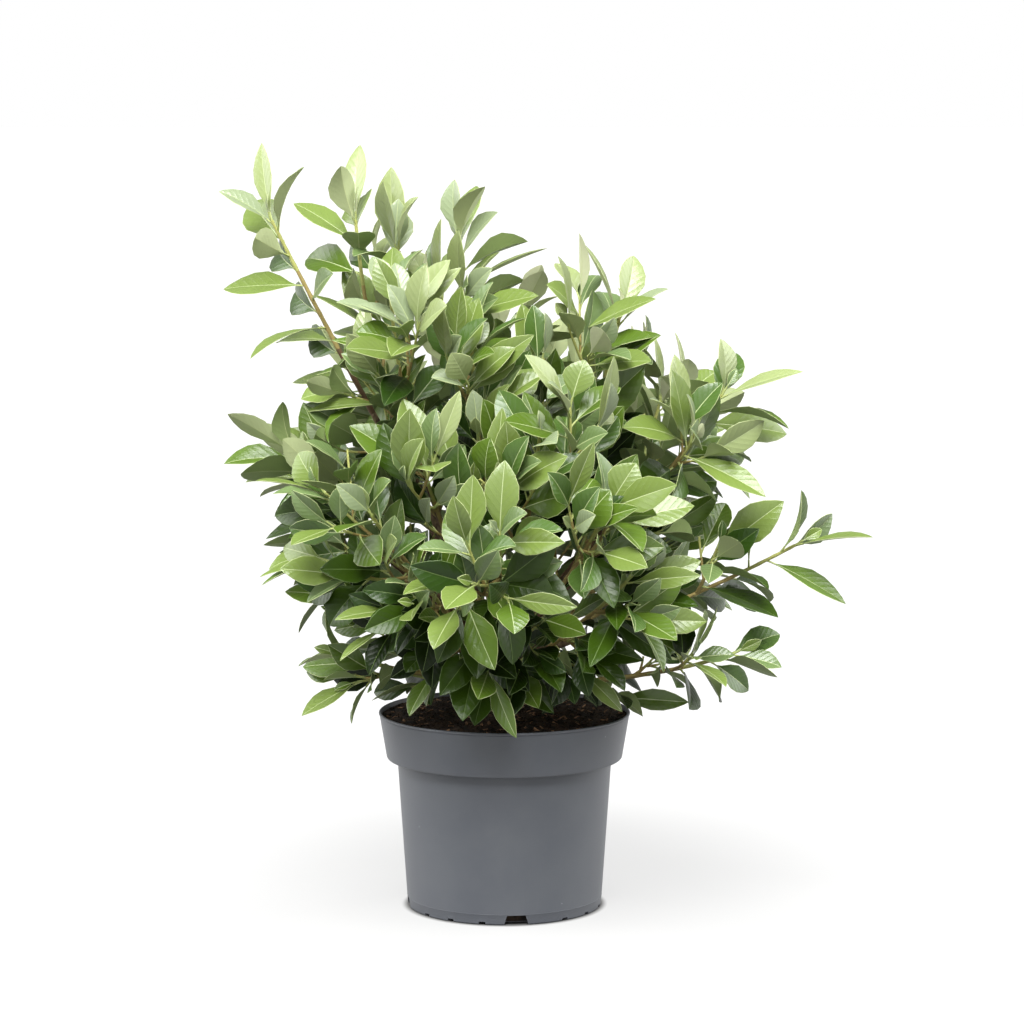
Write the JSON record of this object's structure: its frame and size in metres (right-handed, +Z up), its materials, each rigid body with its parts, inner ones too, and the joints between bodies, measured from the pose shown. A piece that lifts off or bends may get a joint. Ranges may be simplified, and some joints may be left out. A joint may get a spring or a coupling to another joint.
{
  "type": "potted elaeagnus shrub",
  "caption": "Young evergreen elaeagnus shrub with a full, slightly lopsided crown of silvery green leaves, in a round grey plastic nursery pot.",
  "frame": {"origin": "middle of the pot's flat underside, on the floor", "axes": "+Z up through the pot's axis, +X to the right and -Y towards the viewer of the picture"},
  "size_m": [0.4981, 0.4651, 0.582],
  "materials": {
    "pot": "satin mid grey moulded plastic",
    "soil": "rough dark brown peat",
    "bark": "thin brown bark with pale specks",
    "foliage": "satin green leaves, silvery beneath, on pale green twigs"
  },
  "bodies": {
    "root": {"pot": "pot", "soil": "soil", "trunk": "bark", "bough_tall_left": "bark", "bough_second_spire": "bark", "bough_inner_left": "bark", "bough_third_spire": "bark", "bough_centre_front_high": "bark", "bough_centre_right_high": "bark", "bough_right_spire": "bark", "bough_right_upper": "bark", "bough_right_inner": "bark", "bough_right_long": "bark", "bough_left_mid": "bark", "bough_left_lower": "bark", "bough_front_left": "bark", "bough_front_centre_left": "bark", "bough_front_centre": "bark", "bough_front_centre_right": "bark", "bough_front_right": "bark", "bough_back_left": "bark", "bough_back_high": "bark", "bough_back_right": "bark", "bough_back_centre": "bark", "mass_tall_left": "foliage", "mass_second_spire": "foliage", "mass_inner_left": "foliage", "mass_third_spire": "foliage", "mass_centre_front_high": "foliage", "mass_centre_right_high": "foliage", "mass_right_spire": "foliage", "mass_right_upper": "foliage", "mass_right_inner": "foliage", "mass_right_long": "foliage", "mass_left_mid": "foliage", "mass_left_lower": "foliage", "mass_front_left": "foliage", "mass_front_centre_left": "foliage", "mass_front_centre": "foliage", "mass_front_centre_right": "foliage", "mass_front_right": "foliage", "mass_back_left": "foliage", "mass_back_high": "foliage", "mass_back_right": "foliage", "mass_back_centre": "foliage", "mass_right_low": "foliage", "mass_left_low_long": "foliage", "mass_left_low": "foliage", "mass_bottom_left": "foliage", "mass_bottom_front": "foliage", "mass_bottom_right": "foliage", "mass_back_low_left": "foliage", "mass_back_low": "foliage", "mass_back_low_right": "foliage"}
  },
  "joints": []
}
